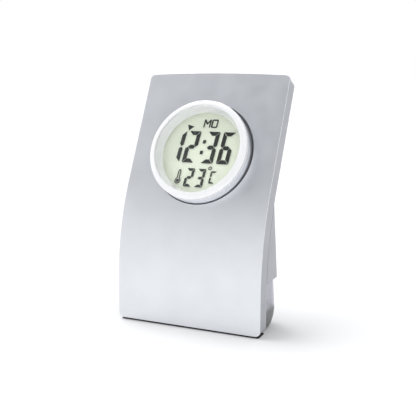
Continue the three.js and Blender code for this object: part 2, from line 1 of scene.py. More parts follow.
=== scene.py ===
"""Finished looks for a digital desk clock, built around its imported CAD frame.

Lengths are in metres in the frame's axes: X runs across, the clock faces -Y, and Z is up.
A place on the curved panel is (x, along, inward): across, up along the front surface from its
lower edge, and square behind that surface.
"""

import math

import bmesh
import bpy
from mathutils import Matrix, Vector


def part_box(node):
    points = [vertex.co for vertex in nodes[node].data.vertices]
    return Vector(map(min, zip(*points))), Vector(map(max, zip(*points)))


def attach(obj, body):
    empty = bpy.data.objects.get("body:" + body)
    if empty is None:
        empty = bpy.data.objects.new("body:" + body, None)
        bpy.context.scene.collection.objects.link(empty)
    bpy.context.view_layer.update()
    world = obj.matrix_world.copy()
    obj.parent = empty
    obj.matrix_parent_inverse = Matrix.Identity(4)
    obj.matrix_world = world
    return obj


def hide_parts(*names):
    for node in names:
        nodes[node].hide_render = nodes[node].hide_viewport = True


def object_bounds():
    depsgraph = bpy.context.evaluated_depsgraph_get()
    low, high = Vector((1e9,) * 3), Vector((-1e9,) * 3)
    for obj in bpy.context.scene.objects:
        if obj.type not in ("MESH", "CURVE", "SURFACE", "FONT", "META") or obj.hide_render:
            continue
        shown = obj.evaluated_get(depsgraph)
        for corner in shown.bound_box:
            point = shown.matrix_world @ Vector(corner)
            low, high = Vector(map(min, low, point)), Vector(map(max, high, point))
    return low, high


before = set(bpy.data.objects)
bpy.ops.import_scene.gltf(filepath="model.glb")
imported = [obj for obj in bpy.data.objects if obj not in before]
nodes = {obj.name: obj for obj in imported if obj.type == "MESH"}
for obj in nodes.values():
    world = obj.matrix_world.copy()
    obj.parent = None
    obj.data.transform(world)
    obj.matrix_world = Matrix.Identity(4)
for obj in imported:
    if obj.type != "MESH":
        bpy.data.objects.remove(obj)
cad_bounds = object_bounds()

MM = 0.001

# -------- the panel's side profile

PANEL_LOW, PANEL_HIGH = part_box("front_panel")
FOOT = Vector((0, PANEL_LOW.y, PANEL_LOW.z))
WIDTH = PANEL_HIGH.x - PANEL_LOW.x
PANEL_HEIGHT = PANEL_HIGH.z - PANEL_LOW.z
LEAN = math.radians(25.8)
BEND_START = 20 * MM
BEND_END = 76 * MM
BEND_RADIUS = (BEND_END - BEND_START) / math.sin(LEAN)
BEND_LENGTH = BEND_RADIUS * LEAN
PANEL_LENGTH = BEND_START + BEND_LENGTH + (PANEL_HEIGHT - BEND_END) / math.cos(LEAN)
CORNER = 3 * MM
TOP_ARCH = 1 * MM

GAP = 0.3 * MM
PANEL_THICKNESS = 1.5 * MM
BODY_THICKNESS = 10.1 * MM
BODY_INSET = 0.4 * MM
WALL = 2 * MM
TRAY_FRONT = PANEL_THICKNESS + GAP
TRAY_FLOOR = TRAY_FRONT + 1.8 * MM
COVER_FRONT = BODY_THICKNESS - 1.8 * MM
COVER_INSET = BODY_INSET + WALL + GAP

DISPLAY_HEIGHT = 91.9 * MM
DISPLAY_ALONG = BEND_START + BEND_LENGTH + (DISPLAY_HEIGHT - BEND_END) / math.cos(LEAN)
PANEL_HOLE = 29.2 * MM
# The hole sits a little high, so that the gap round the bezel is narrowest at the bottom.
PANEL_HOLE_ALONG = DISPLAY_ALONG + 0.45 * MM
TRAY_HOLE = 27.6 * MM


def lean_at(along):
    return min(max((along - BEND_START) / BEND_RADIUS, 0), LEAN)


def on_panel(x, along, inward):
    """The point in the frame for a place on the curved panel."""
    angle = lean_at(along)
    beyond = along - BEND_START - angle * BEND_RADIUS
    depth = BEND_RADIUS * (1 - math.cos(angle)) + beyond * math.sin(angle)
    height = BEND_START + BEND_RADIUS * math.sin(angle) + beyond * math.cos(angle)
    depth += inward * math.cos(angle)
    height -= inward * math.sin(angle)
    return FOOT + Vector((x, depth, height))


def panel_axes(along):
    """The local frame on the panel: X across, Y up along the surface and Z out of it."""
    angle = lean_at(along)
    up = Vector((0, math.sin(angle), math.cos(angle)))
    out = Vector((0, -math.cos(angle), math.sin(angle)))
    turn = Matrix((Vector((1, 0, 0)), up, out)).transposed().to_4x4()
    return Matrix.Translation(on_panel(0, along, 0)) @ turn


DISPLAY = panel_axes(DISPLAY_ALONG)

# -------- outlines


def arc(centre_x, centre_y, radius, start, end, steps=8):
    """Points on an arc between two angles in degrees."""
    angles = [math.radians(start + (end - start) * i / steps) for i in range(steps + 1)]
    return [(centre_x + radius * math.cos(a), centre_y + radius * math.sin(a)) for a in angles]


def circle(x, y, radius, steps=96):
    return arc(x, y, radius, 0, 360, steps)[:-1]


def rounded_box(x, y, half_x, half_y, radius, steps=6):
    """A rectangle's outline with round corners."""
    inner_x, inner_y = half_x - radius, half_y - radius
    return (
        arc(x + inner_x, y + inner_y, radius, 0, 90, steps)
        + arc(x - inner_x, y + inner_y, radius, 90, 180, steps)
        + arc(x - inner_x, y - inner_y, radius, 180, 270, steps)
        + arc(x + inner_x, y - inner_y, radius, 270, 360, steps)
    )


def panel_outline(inset):
    """The flattened panel's outline, made smaller all round by an inset."""
    half = WIDTH / 2 - inset
    radius = CORNER - inset
    low = inset + radius
    top = PANEL_LENGTH - inset
    high = top - TOP_ARCH - radius
    reach = half - radius
    arch = (reach**2 + TOP_ARCH**2) / (2 * TOP_ARCH)
    spread = math.degrees(math.asin(reach / arch))
    return (
        arc(-reach, low, radius, 180, 270)
        + arc(reach, low, radius, 270, 360)
        + arc(reach, high, radius, 0, 90)
        + arc(0, top - arch, arch, 90 - spread, 90 + spread, 24)[1:-1]
        + arc(-reach, high, radius, 90, 180)
    )


def soften(outline, radius, closed=True, steps=4):
    """Rounds each corner of an outline of (x, y) points."""
    points = [Vector(point) for point in outline]
    soft = []
    for i, corner in enumerate(points):
        if not closed and i in (0, len(points) - 1):
            soft.append(tuple(corner))
            continue
        before, after = points[i - 1], points[(i + 1) % len(points)]
        cut = min(radius, (before - corner).length / 2, (after - corner).length / 2)
        start = corner + (before - corner).normalized() * cut
        end = corner + (after - corner).normalized() * cut
        for step in range(steps + 1):
            t = step / steps
            soft.append(tuple(start.lerp(corner, t).lerp(corner.lerp(end, t), t)))
    return soft


# -------- mesh helpers

SAME_PLACE = 1e-7


def mesh_from(name, bm):
    mesh = bpy.data.meshes.new(name)
    bm.to_mesh(mesh)
    bm.free()
    return mesh


def add_object(name, data):
    """Adds an object with this data to the scene."""
    added = bpy.data.objects.new(name, data)
    bpy.context.scene.collection.objects.link(added)
    return added


def piece_from(name, bm, slot, stands_for=None, body="clock_body", look=None, crisp=False):
    """Makes a shown piece of a mesh in the frame's axes, with its slot's look or its own."""
    bmesh.ops.remove_doubles(bm, verts=bm.verts, dist=SAME_PLACE)
    bmesh.ops.recalc_face_normals(bm, faces=bm.faces)
    mesh = mesh_from(name, bm)
    mesh.materials.append(look or LOOKS[slot])
    for face in mesh.polygons:
        face.use_smooth = not crisp
    piece = add_object(name, mesh)
    if not crisp:
        weigh_normals(piece)
    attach(piece, body)
    if stands_for:
        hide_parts(stands_for)
    return piece


def weigh_normals(piece):
    """Lets the flat faces keep their shading, so that only the rounded edges look round."""
    favour_large_faces = 80
    weighted = piece.modifiers.new("weighted_normals", "WEIGHTED_NORMAL")
    weighted.keep_sharp = True
    weighted.weight = favour_large_faces


def round_edges(piece, width, segments, angle):
    """Rounds the edges where faces turn by more than an angle in degrees."""
    edge = piece.modifiers.new("edge", "BEVEL")
    edge.width = width
    edge.segments = segments
    edge.limit_method = "ANGLE"
    edge.angle_limit = math.radians(angle)


def add_rows(bm, lines, closed):
    """Joins lines of points, open or closed, with faces. Gives back their rows of vertices."""
    rows = [[bm.verts.new(point) for point in line] for line in lines]
    for row, following in zip(rows, rows[1:]):
        for i in range(0 if closed else 1, len(row)):
            bm.faces.new((row[i - 1], row[i], following[i], following[i - 1]))
    return rows


def add_rings(bm, rings):
    """Joins rings of points with faces, and gives back the first and the last ring's vertices."""
    rows = add_rows(bm, rings, closed=True)
    return rows[0], rows[-1]


def cap(bm, rows):
    """Fills the flat region between closed rings of vertices."""
    edges = []
    for row in rows:
        for i in range(len(row)):
            edge = bm.edges.get((row[i - 1], row[i])) or bm.edges.new((row[i - 1], row[i]))
            edges.append(edge)
    bmesh.ops.triangle_fill(bm, use_beauty=True, use_dissolve=False, edges=edges)


def layer(loops, stations=()):
    """A flat plate. Each loop is a list of rings from its front face to its back face."""
    bm = bmesh.new()
    ends = [add_rings(bm, rings) for rings in loops]
    for rows in zip(*ends):
        cap(bm, rows)
    for along in stations:
        whole = bm.verts[:] + bm.edges[:] + bm.faces[:]
        bmesh.ops.bisect_plane(bm, geom=whole, plane_co=(0, along, 0), plane_no=(0, 1, 0))
    return bm


def bend(bm, place):
    """Moves each point of a flat plate to where place puts it."""
    for vertex in bm.verts:
        vertex.co = place(*vertex.co)
    return bm


def edge_rings(outline, front, back, front_edge, back_edge, steps=4):
    """Rings of a plate's edge, rounded at its front and at its back."""
    quarter = arc(0, 0, 1, 0, 90, steps)
    stages = [(front_edge * (1 - y), front + front_edge * (1 - x)) for x, y in quarter]
    stages += [(back_edge * (1 - x), back - back_edge * (1 - y)) for x, y in quarter]
    return [[(x, y, depth) for x, y in outline(inset)] for inset, depth in stages]


def revolve(outline, matrix, steps):
    """A body of revolution about the matrix's Z axis. The outline holds (radius, height)."""
    bm = bmesh.new()
    verts = [bm.verts.new((radius, 0, height)) for radius, height in outline]
    edges = [bm.edges.new(pair) for pair in zip(verts, verts[1:])]
    meets_axis = outline[0][0] == 0 and outline[-1][0] == 0
    if not meets_axis:
        edges.append(bm.edges.new((verts[-1], verts[0])))
    turn = dict(cent=(0, 0, 0), axis=(0, 0, 1), angle=2 * math.pi, steps=steps)
    bmesh.ops.spin(bm, geom=verts + edges, use_merge=True, **turn)
    bmesh.ops.remove_doubles(bm, verts=bm.verts, dist=SAME_PLACE)
    bm.transform(matrix)
    return bm


def facing_back(matrix, x, y):
    """The axes at (x, y) on the matrix's plane, turned over so that Z points behind it."""
    return matrix @ Matrix.Translation((x, y, 0)) @ Matrix.Rotation(math.pi, 4, "X")


def prism(outline, bottom, top, matrix):
    """A flat outline of (x, y) points raised along the matrix's Z axis."""
    bm = bmesh.new()
    rings = [[(x, y, height) for x, y in outline] for height in (bottom, top)]
    for row in add_rings(bm, rings):
        bm.faces.new(row)
    bm.transform(matrix)
    return bm


def joined(parts):
    """One mesh that holds all of the parts."""
    whole = bmesh.new()
    for part in parts:
        mesh = mesh_from("part", part)
        whole.from_mesh(mesh)
        bpy.data.meshes.remove(mesh)
    return whole


def carve(bm, tools):
    """Cuts closed meshes out of a closed mesh."""
    targets = []
    for name, source in (("blank", bm), ("tool", joined(tools))):
        bmesh.ops.recalc_face_normals(source, faces=source.faces)
        targets.append(add_object(name, mesh_from(name, source)))
    blank, tool = targets
    cut = blank.modifiers.new("cut", "BOOLEAN")
    cut.object = tool
    cut.solver = "EXACT"
    cut.use_self = True
    bpy.context.view_layer.update()
    depsgraph = bpy.context.evaluated_depsgraph_get()
    result = bmesh.new()
    result.from_mesh(blank.evaluated_get(depsgraph).to_mesh())
    for target in targets:
        bpy.data.objects.remove(target)
    return result


# -------- materials

# Most of a noise's values lie between these two.
NOISE_LOW, NOISE_HIGH = 0.3, 0.7
SMOOTHEST = 0.02


def color_mix(tree, factor):
    """Adds a mix of two colours. Gives back its two colour inputs and its output."""
    mix = tree.nodes.new("ShaderNodeMix")
    mix.data_type = "RGBA"
    tree.links.new(factor, mix.inputs["Factor"])
    first, second = [socket for socket in mix.inputs if socket.type == "RGBA"][:2]
    blended = next(socket for socket in mix.outputs if socket.type == "RGBA")
    return first, second, blended


class Look:
    """A Principled material whose colour, roughness and bump come from noise."""

    def __init__(self, name, color, roughness, metallic=0.0):
        self.material = bpy.data.materials.new(name)
        self.material.use_nodes = True
        self.tree = self.material.node_tree
        self.nodes = self.tree.nodes
        self.links = self.tree.links
        self.shader = self.nodes["Principled BSDF"]
        self.shader.inputs["Base Color"].default_value = (*color, 1)
        self.shader.inputs["Roughness"].default_value = roughness
        self.shader.inputs["Metallic"].default_value = metallic
        self.color = color
        self.roughness = roughness
        self.coordinates = self.nodes.new("ShaderNodeTexCoord").outputs["Object"]

    def set(self, sockets):
        """Sets some of the shader's own sockets, by their names."""
        for name, value in sockets.items():
            self.shader.inputs[name].default_value = value
        return self

    def noise(self, size, stretch=(1, 1, 1), detail=3.0):
        """Noise from 0 to 1 with features of about this size, drawn out along the axes."""
        mapping = self.nodes.new("ShaderNodeMapping")
        mapping.inputs["Scale"].default_value = [1 / (size * s) for s in stretch]
        self.links.new(self.coordinates, mapping.inputs["Vector"])
        texture = self.nodes.new("ShaderNodeTexNoise")
        texture.inputs["Scale"].default_value = 1
        texture.inputs["Detail"].default_value = detail
        self.links.new(mapping.outputs["Vector"], texture.inputs["Vector"])
        return texture.outputs["Fac"]

    def spread(self, source, low, high):
        """The source's middle range, spread between two values."""
        mapper = self.nodes.new("ShaderNodeMapRange")
        mapper.inputs["From Min"].default_value = NOISE_LOW
        mapper.inputs["From Max"].default_value = NOISE_HIGH
        mapper.inputs["To Min"].default_value = low
        mapper.inputs["To Max"].default_value = high
        self.links.new(source, mapper.inputs["Value"])
        return mapper.outputs["Result"]

    def tint(self, size, amount, stretch=(1, 1, 1)):
        """Lets the colour drift lighter and darker by a share."""
        drift = self.spread(self.noise(size, stretch), 0, 1)
        dark, light, blended = color_mix(self.tree, drift)
        dark.default_value = (*[c * (1 - amount) for c in self.color], 1)
        light.default_value = (*[min(c * (1 + amount), 1) for c in self.color], 1)
        self.links.new(blended, self.shader.inputs["Base Color"])
        return self

    def paint_shade_below(self, color, low, high):
        """Paints shade: turns to a darker colour further down, a little unevenly, between two
        heights.
        """
        waver_size = 6 * MM
        height = self.nodes.new("ShaderNodeSeparateXYZ")
        self.links.new(self.coordinates, height.inputs["Vector"])
        waver = self.nodes.new("ShaderNodeMath")
        waver.operation = "MULTIPLY_ADD"
        waver.inputs[1].default_value = high - low
        self.links.new(self.noise(waver_size), waver.inputs[0])
        self.links.new(height.outputs["Z"], waver.inputs[2])
        rise = self.nodes.new("ShaderNodeMapRange")
        rise.inputs["From Min"].default_value = low
        rise.inputs["From Max"].default_value = high
        self.links.new(waver.outputs["Value"], rise.inputs["Value"])
        below, above, blended = color_mix(self.tree, rise.outputs["Result"])
        below.default_value = (*color, 1)
        above.default_value = (*self.color, 1)
        self.links.new(blended, self.shader.inputs["Base Color"])
        return self

    def smudge(self, size, amount, stretch=(1, 1, 1)):
        """Lets the roughness drift by an amount."""
        low, high = max(self.roughness - amount, SMOOTHEST), self.roughness + amount
        drift = self.spread(self.noise(size, stretch), low, high)
        self.links.new(drift, self.shader.inputs["Roughness"])
        return self

    def grain(self, size, height, stretch=(1, 1, 1), strength=0.5):
        """Adds a bump of this height in metres."""
        bump = self.nodes.new("ShaderNodeBump")
        bump.inputs["Strength"].default_value = strength
        bump.inputs["Distance"].default_value = height
        self.links.new(self.noise(size, stretch, detail=2.0), bump.inputs["Height"])
        self.links.new(bump.outputs["Normal"], self.shader.inputs["Normal"])
        return self


def silver_paint():
    look = Look("silver_paint", (0.775, 0.79, 0.82), 0.31, metallic=0.8)
    look.tint(14 * MM, 0.02).smudge(9 * MM, 0.03).grain(0.9 * MM, 0.004 * MM, strength=0.3)
    return look.material


def grey_plastic():
    look = Look("grey_plastic", (0.38, 0.39, 0.42), 0.45)
    look.tint(10 * MM, 0.04).smudge(5 * MM, 0.06).grain(0.9 * MM, 0.01 * MM, strength=0.4)
    return look.material


def plated_ring():
    look = Look("plated_ring", (0.84, 0.85, 0.88), 0.22, metallic=0.85)
    look.tint(8 * MM, 0.03).smudge(3 * MM, 0.05).grain(0.4 * MM, 0.004 * MM, strength=0.3)
    return look.material


def gloss_white():
    look = Look("gloss_white", (0.96, 0.965, 0.975), 0.15)
    look.tint(12 * MM, 0.02).smudge(4 * MM, 0.03).grain(1.5 * MM, 0.006 * MM, strength=0.3)
    return look.set({"Coat Weight": 0.6, "Coat Roughness": 0.04}).material


def smoked_plastic():
    """Smoked plastic, pale, with painted shade that darkens it low down, towards the floor."""
    look = Look("smoked_plastic", (0.6, 0.6, 0.68), 0.08)
    look.smudge(4 * MM, 0.03).grain(1.2 * MM, 0.006 * MM, strength=0.3)
    # Painted shade: the case turns dark between these heights, towards the floor.
    look.paint_shade_below((0.05, 0.05, 0.06), 10.5 * MM, 13 * MM)
    return look.set({"Transmission Weight": 0.75, "IOR": 1.49, "Coat Weight": 0.3}).material


def see_through(look, color, ahead, edge_on):
    """Lets light straight through, but for a mirrored share that grows towards grazing."""
    grazing_power = 5
    clear = look.nodes.new("ShaderNodeBsdfTransparent")
    clear.inputs["Color"].default_value = (*color, 1)
    facing = look.nodes.new("ShaderNodeLayerWeight").outputs["Facing"]
    steep = look.nodes.new("ShaderNodeMath")
    steep.operation = "POWER"
    steep.inputs[1].default_value = grazing_power
    look.links.new(facing, steep.inputs[0])
    share = look.nodes.new("ShaderNodeMapRange")
    share.inputs["To Min"].default_value = ahead
    share.inputs["To Max"].default_value = edge_on
    look.links.new(steep.outputs["Value"], share.inputs["Value"])
    mix = look.nodes.new("ShaderNodeMixShader")
    look.links.new(share.outputs["Result"], mix.inputs["Fac"])
    look.links.new(clear.outputs["BSDF"], mix.inputs[1])
    look.links.new(look.shader.outputs["BSDF"], mix.inputs[2])
    look.links.new(mix.outputs["Shader"], look.nodes["Material Output"].inputs["Surface"])
    return look.material


def clear_plastic():
    look = Look("clear_plastic", (1, 1, 1), 0.03, metallic=1)
    look.smudge(6 * MM, 0.012).grain(4 * MM, 0.004 * MM, strength=0.2)
    return see_through(look, (0.995, 0.998, 0.995), ahead=0.03, edge_on=0.6)


def display_glass_coat():
    """The display's own glass, bonded to the figures, so that it hardly mirrors."""
    look = Look("display_glass_coat", (1, 1, 1), 0.05, metallic=1)
    look.smudge(5 * MM, 0.02).grain(3 * MM, 0.003 * MM, strength=0.2)
    return see_through(look, (0.99, 0.995, 0.985), ahead=0.005, edge_on=0.3)


def reflector_film_painted_glow():
    """The film glows a little, as painted light that brightens the display."""
    look = Look("reflector_film_painted_glow", (0.86, 0.90, 0.77), 0.55)
    look.tint(9 * MM, 0.03).smudge(3 * MM, 0.05).grain(0.25 * MM, 0.01 * MM, strength=0.4)
    # The emission is painted light, not light that the film gives off.
    return look.set({"Emission Color": (*look.color, 1), "Emission Strength": 0.22}).material


def display_ink():
    look = Look("display_ink", (0.018, 0.022, 0.018), 0.35)
    look.tint(2 * MM, 0.3).smudge(1 * MM, 0.05).grain(0.5 * MM, 0.002 * MM, strength=0.2)
    return look.material


def black_plastic():
    look = Look("black_plastic", (0.02, 0.021, 0.023), 0.5)
    look.tint(5 * MM, 0.25).smudge(3 * MM, 0.08).grain(0.25 * MM, 0.03 * MM)
    return look.material


def rubber():
    look = Look("rubber", (0.016, 0.016, 0.018), 0.8)
    look.tint(3 * MM, 0.35).smudge(2 * MM, 0.1).grain(0.2 * MM, 0.05 * MM)
    return look.material


def steel():
    look = Look("steel", (0.62, 0.63, 0.65), 0.37, metallic=1)
    look.tint(2 * MM, 0.08).smudge(1 * MM, 0.08).grain(0.12 * MM, 0.006 * MM, stretch=(1, 1, 6))
    return look.material


def board_green():
    look = Look("board_green", (0.03, 0.16, 0.06), 0.35)
    look.tint(1.5 * MM, 0.3, stretch=(1, 4, 1)).smudge(1 * MM, 0.08).grain(0.6 * MM, 0.03 * MM)
    return look.material


def ceramic_tan():
    look = Look("ceramic_tan", (0.42, 0.30, 0.15), 0.5)
    look.tint(0.5 * MM, 0.15).smudge(0.5 * MM, 0.08).grain(0.1 * MM, 0.01 * MM)
    return look.material


def cell_jacket():
    look = Look("cell_jacket", (0.05, 0.15, 0.28), 0.2, metallic=0.3)
    look.tint(4 * MM, 0.1).smudge(2 * MM, 0.05).grain(0.8 * MM, 0.01 * MM, strength=0.3)
    return look.material


def wire_jacket(name, color):
    look = Look(name, color, 0.45)
    look.tint(2 * MM, 0.12).smudge(2 * MM, 0.08).grain(0.3 * MM, 0.01 * MM)
    return look.material


LOOKS = {
    "silver_panel": silver_paint(),
    "shell_grey": grey_plastic(),
    "bezel_silver": plated_ring(),
    "bezel_white": gloss_white(),
    "lens_clear": clear_plastic(),
    "lcd": reflector_film_painted_glow(),
    "smoke_plastic": smoked_plastic(),
    "black_plastic": black_plastic(),
    "rubber": rubber(),
    "board_green": board_green(),
    "steel": steel(),
    "ceramic_tan": ceramic_tan(),
    "cell_jacket": cell_jacket(),
    "wire_red": wire_jacket("red_wire", (0.45, 0.03, 0.02)),
    "wire_black": wire_jacket("black_wire", (0.02, 0.02, 0.02)),
}

# -------- the curved layers

BEND_STEPS = 32
BEND_STATIONS = [BEND_START + BEND_LENGTH * i / BEND_STEPS for i in range(BEND_STEPS + 1)]


def curved(loops):
    return bend(layer(loops, BEND_STATIONS), on_panel)


def round_hole(x, along, radius, front, back, edge, steps=96):
    """A round hole's rings, with its rims rounded outwards."""

    def outline(inset):
        return circle(x, along, radius + inset, steps)

    return edge_rings(outline, front, back, edge, edge)


def front_panel():
    """The panel is grey plastic with silver paint on its front."""
    front_edge, back_edge, hole_edge = 0.28 * MM, 0.15 * MM, 0.2 * MM
    outline = edge_rings(panel_outline, 0, PANEL_THICKNESS, front_edge, back_edge)
    hole = round_hole(0, PANEL_HOLE_ALONG, PANEL_HOLE, 0, PANEL_THICKNESS, hole_edge)
    plate = layer([outline, hole], BEND_STATIONS)
    for face in plate.faces:
        face.material_index = int(face.calc_center_median().z > front_edge)
    plate = bend(plate, on_panel)
    piece = piece_from("silver_front_panel", plate, "silver_panel", stands_for="front_panel")
    piece.data.materials.append(LOOKS["shell_grey"])


def tray():
    """The grey tray: a wall round the edge and a floor behind the front panel."""
    front_edge, back_edge, lip_edge, hole_edge = 0.2 * MM, 0.5 * MM, 0.2 * MM, 0.1 * MM
    outside = edge_rings(
        lambda inset: panel_outline(BODY_INSET + inset),
        TRAY_FRONT,
        BODY_THICKNESS,
        front_edge,
        back_edge,
    )
    lip = [(x, y, BODY_THICKNESS) for x, y in panel_outline(BODY_INSET + WALL - lip_edge)]
    inside = [
        [(x, y, depth) for x, y in panel_outline(BODY_INSET + WALL)]
        for depth in (BODY_THICKNESS - lip_edge, TRAY_FLOOR)
    ]
    # A groove as wide as the panel's own hole makes the gap round the bezel deep and dark.
    groove_floor = TRAY_FLOOR - 0.4 * MM
    hole = round_hole(0, PANEL_HOLE_ALONG, PANEL_HOLE, TRAY_FRONT, groove_floor, hole_edge)
    hole += round_hole(0, DISPLAY_ALONG, TRAY_HOLE, groove_floor, TRAY_FLOOR, hole_edge)
    shell = curved([outside + [lip] + inside, hole])
    piece_from("grey_body_tray", shell, "shell_grey", stands_for="body_shell")


BUTTON_PLACES = {
    name: (sum(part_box(f"{name}_button"), Vector()) / 2).x for name in ("mode", "set", "units")
}
BUTTON_RISE = 8 * MM
BUTTON_RADIUS = 3 * MM
BUTTON_STAND = 0.8 * MM
SCREW_HEAD = 2.3 * MM
SCREW_HEAD_DEPTH = 1 * MM
SCREW_ASIDE = 36 * MM
SCREW_ROWS = (PANEL_LENGTH - 9 * MM, DISPLAY_ALONG - 9 * MM)
SCREW_PLACES = [(side * SCREW_ASIDE, along) for along in SCREW_ROWS for side in (-1, 1)]
COVER_SCREWS = {f"cover_screw_{i + 1}": place for i, place in enumerate(SCREW_PLACES)}
SLOT_ASIDE = 24 * MM
SLOT_RISE = 20 * MM
SLOT_PITCH = 3 * MM
AIR_SLOTS = [(SLOT_ASIDE, DISPLAY_ALONG + SLOT_RISE + SLOT_PITCH * i) for i in (-1, 0, 1)]


def air_slot(x, along, front, back, edge):
    """An air slot's rings, with its rims rounded outwards."""
    half_length, half_width, corner = 4.5 * MM, 0.6 * MM, 0.55 * MM

    def outline(inset):
        return rounded_box(x, along, half_length + inset, half_width + inset, corner + inset)

    return edge_rings(outline, front, back, edge, edge)


def back_cover():
    back = BODY_THICKNESS
    front_edge, back_edge, rim = 0.1 * MM, 0.35 * MM, 0.2 * MM
    outline = edge_rings(
        lambda inset: panel_outline(COVER_INSET + inset), COVER_FRONT, back, front_edge, back_edge
    )
    screws = [
        round_hole(x, along, SCREW_HEAD + GAP, COVER_FRONT, back, rim, steps=40)
        for x, along in COVER_SCREWS.values()
    ]
    button_along, button_hole = DISPLAY_ALONG + BUTTON_RISE, BUTTON_RADIUS + GAP
    buttons = [
        round_hole(x, button_along, button_hole, COVER_FRONT, back, rim, steps=48)
        for x in BUTTON_PLACES.values()
    ]
    slots = [air_slot(x, along, COVER_FRONT, back, rim) for x, along in AIR_SLOTS]
    cover = curved([outline, *screws, *buttons, *slots])
    piece_from("grey_back_cover", cover, "shell_grey", stands_for="back_cover")


def cross_recess(matrix, top):
    """The tools that cut a cross into a screw's head."""
    arm, half_width, corner, depth = 1.3 * MM, 0.27 * MM, 0.1 * MM, 0.55 * MM
    outlines = [
        rounded_box(0, 0, half_x, half_y, corner, steps=2)
        for half_x, half_y in ((arm, half_width), (half_width, arm))
    ]
    return [prism(outline, top - depth, top + depth, matrix) for outline in outlines]


def cover_screws():
    shank, crown = 1.1 * MM, 0.8 * MM
    tip = TRAY_FLOOR + GAP + 0.6 * MM
    top = BODY_THICKNESS + 0.15 * MM
    under = top - SCREW_HEAD_DEPTH
    outline = soften(
        [
            (0, tip),
            (shank, tip),
            (shank, under),
            (SCREW_HEAD, under),
            (SCREW_HEAD, top - 0.25 * MM),
            (crown, top),
            (0, top),
        ],
        0.3 * MM,
        closed=False,
    )
    for name, (x, along) in COVER_SCREWS.items():
        matrix = facing_back(panel_axes(along), x, 0)
        screw = carve(revolve(outline, matrix, 48), cross_recess(matrix, top))
        piece_from(f"{name}_steel", screw, "steel", stands_for=name)


# -------- the round display

ROUND_STEPS = 160
BEZEL_RADIUS = 28.3 * MM
BASE_TOP = 6 * MM
BASE_BORE = 26.2 * MM
RING_RADIUS = 28.2 * MM
RING_TOP = 9.2 * MM
RING_ROUND = 2.9 * MM
RING_DROP = 2 * MM
LENS_SEAT = 7.6 * MM
LENS_RADIUS = 25.2 * MM
LENS_TOP = 10.6 * MM
WINDOW_RADIUS = 22.8 * MM
WINDOW_BOTTOM = 2.7 * MM
GLASS_FLATS = 46 * MM
FILM_FLATS = 49 * MM


def bezel_base():
    spigot = TRAY_HOLE - GAP
    spigot_end = -4 * MM
    outline = soften(
        [
            (BASE_BORE, spigot_end),
            (spigot, spigot_end),
            (spigot, -PANEL_THICKNESS),
            (BEZEL_RADIUS, -PANEL_THICKNESS),
            (BEZEL_RADIUS, BASE_TOP),
            (BASE_BORE, BASE_TOP),
        ],
        0.6 * MM,
    )
    base = revolve(outline, DISPLAY, ROUND_STEPS)
    piece_from("plated_bezel_base", base, "bezel_silver", stands_for="bezel_base")


def bezel_ring():
    bottom = BASE_TOP + GAP
    centre = RING_RADIUS - RING_ROUND
    shoulder = [
        (centre + RING_ROUND * x, RING_TOP - RING_DROP + RING_DROP * y)
        for x, y in arc(0, 0, 1, 0, 90, 18)
    ]
    inside = soften(
        [
            shoulder[-1],
            (LENS_RADIUS - 0.35 * MM, RING_TOP),
            (LENS_RADIUS - 0.2 * MM, RING_TOP - 0.15 * MM),
            (LENS_RADIUS + GAP, RING_TOP - 0.4 * MM),
            (LENS_RADIUS + GAP, LENS_SEAT),
            (LENS_RADIUS - 0.6 * MM, LENS_SEAT),
            (WINDOW_RADIUS, WINDOW_BOTTOM),
            (BASE_BORE - GAP, WINDOW_BOTTOM),
            (BASE_BORE - GAP, bottom),
            (RING_RADIUS, bottom),
        ],
        0.25 * MM,
        closed=False,
    )
    ring = revolve(shoulder + inside[1:], DISPLAY, ROUND_STEPS)
    piece_from("white_bezel_ring", ring, "bezel_white", stands_for="bezel_ring")


def dome_lens():
    """A clear dome that thins towards its rim."""
    edge_bottom = LENS_SEAT + GAP
    edge_top = RING_TOP - 0.2 * MM
    crown = LENS_TOP - edge_top
    sphere = (LENS_RADIUS**2 + crown**2) / (2 * crown)
    thickness = 1.5 * MM
    inner_edge = LENS_RADIUS - 2.2 * MM

    def dome_height(radius):
        return math.sqrt(sphere**2 - radius**2) - sphere + LENS_TOP

    steps = 16
    outer_radii = [LENS_RADIUS * i / steps for i in range(steps + 1)]
    inner_radii = [inner_edge * i / steps for i in range(steps, -1, -1)]
    outer = [(radius, dome_height(radius)) for radius in outer_radii]
    inner = [(radius, max(dome_height(radius) - thickness, edge_bottom)) for radius in inner_radii]
    rim = soften([outer[-1], (LENS_RADIUS, edge_bottom), inner[0]], 0.2 * MM, closed=False)
    dome = revolve(outer[:-1] + rim + inner[1:], DISPLAY, ROUND_STEPS)
    piece_from("clear_dome_lens", dome, "lens_clear", stands_for="dome_lens")


def octagon_plate(flats, bottom, top):
    """An eight-sided plate in front of the display's plane, by its width across flats."""
    half_side = math.pi / 8
    outline = circle(0, 0, flats / 2 / math.cos(half_side), 8)
    return prism(outline, bottom, top, DISPLAY @ Matrix.Rotation(half_side, 4, "Z"))


def display_glass():
    glass_bottom, film_top = 1.7 * MM, 0.6 * MM
    glass = octagon_plate(GLASS_FLATS, glass_bottom, WINDOW_BOTTOM - GAP)
    film = octagon_plate(FILM_FLATS, GAP, film_top)
    coat = display_glass_coat()
    piece_from("display_glass_plate", glass, "lcd", stands_for="lcd_glass", look=coat, crisp=True)
    piece_from("display_reflector_film", film, "lcd", stands_for="lcd_reflector", crisp=True)


# -------- the display's figures

SLANT = 0.078
MARK_BOTTOM = 0.95 * MM
MARK_TOP = 1.05 * MM
# The marks' places are in millimetres from the display's centre, as they are seen through the
# window. This moves them back to where they lie, deep under it.
MARK_SHIFT = Vector((-0.6, 1.3)) * MM

LIT = {"1": "bc", "2": "abged", "3": "abgcd", "6": "afgedc", "C": "afed"}


